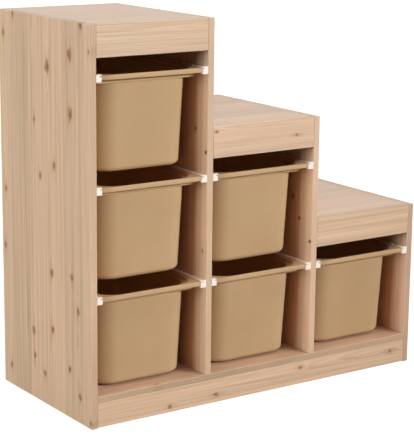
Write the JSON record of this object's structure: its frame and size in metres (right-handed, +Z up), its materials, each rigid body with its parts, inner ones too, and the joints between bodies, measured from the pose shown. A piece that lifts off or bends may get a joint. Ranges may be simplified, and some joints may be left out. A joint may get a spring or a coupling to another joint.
{
  "type": "drawer unit",
  "caption": "Stepped pine storage unit for a child's room, with plastic bins that hang by their rims in side runners and slide out forwards.",
  "frame": {"origin": "middle of the footprint, on the floor", "axes": "+X along the width from the tall column to the low one, +Y from front to back, +Z up"},
  "size_m": [0.94, 0.42, 0.91],
  "materials": {
    "pine": "clear lacquered pine",
    "back_board": "thin hardboard",
    "white_plastic": "white moulded plastic",
    "khaki_plastic": "khaki moulded plastic, satin",
    "dowel_wood": "plain beech",
    "steel": "zinc plated",
    "zinc": "die-cast zinc"
  },
  "bodies": {
    "frame": {"side_panel_left": "pine", "side_panel_right": "pine", "divider_tall": "pine", "divider_mid": "pine", "base_deck": "pine", "base_front_rail": "pine", "base_back_rail": "pine", "top_board_tall": "pine", "fascia_tall": "pine", "back_rail_tall": "pine", "top_board_mid": "pine", "fascia_mid": "pine", "back_rail_mid": "pine", "top_board_low": "pine", "fascia_low": "pine", "back_rail_low": "pine", "back_panel_tall": "back_board", "back_panel_mid": "back_board", "back_panel_low": "back_board", "runner_tall_bottom_left": "white_plastic", "runner_tall_bottom_right": "white_plastic", "runner_tall_middle_left": "white_plastic", "runner_tall_middle_right": "white_plastic", "runner_tall_top_left": "white_plastic", "runner_tall_top_right": "white_plastic", "runner_mid_bottom_left": "white_plastic", "runner_mid_bottom_right": "white_plastic", "runner_mid_top_left": "white_plastic", "runner_mid_top_right": "white_plastic", "runner_low_left": "white_plastic", "runner_low_right": "white_plastic", "dowels": "dowel_wood", "cam_bolts": "steel", "cam_locks": "zinc", "divider_screws": "steel"},
    "bin_tall_bottom": {"bin_tall_bottom": "khaki_plastic"},
    "bin_tall_middle": {"bin_tall_middle": "khaki_plastic"},
    "bin_tall_top": {"bin_tall_top": "khaki_plastic"},
    "bin_mid_bottom": {"bin_mid_bottom": "khaki_plastic"},
    "bin_mid_top": {"bin_mid_top": "khaki_plastic"},
    "bin_low": {"bin_low": "khaki_plastic"}
  },
  "joints": [
    {"name": "bin_tall_bottom_slide", "type": "slide", "parent": "frame", "child": "bin_tall_bottom", "axis": [0, -1, 0], "range_m": [0, 0.3]},
    {"name": "bin_tall_middle_slide", "type": "slide", "parent": "frame", "child": "bin_tall_middle", "axis": [0, -1, 0], "range_m": [0, 0.3]},
    {"name": "bin_tall_top_slide", "type": "slide", "parent": "frame", "child": "bin_tall_top", "axis": [0, -1, 0], "range_m": [0, 0.3]},
    {"name": "bin_mid_bottom_slide", "type": "slide", "parent": "frame", "child": "bin_mid_bottom", "axis": [0, -1, 0], "range_m": [0, 0.3]},
    {"name": "bin_mid_top_slide", "type": "slide", "parent": "frame", "child": "bin_mid_top", "axis": [0, -1, 0], "range_m": [0, 0.3]},
    {"name": "bin_low_slide", "type": "slide", "parent": "frame", "child": "bin_low", "axis": [0, -1, 0], "range_m": [0, 0.3]}
  ]
}
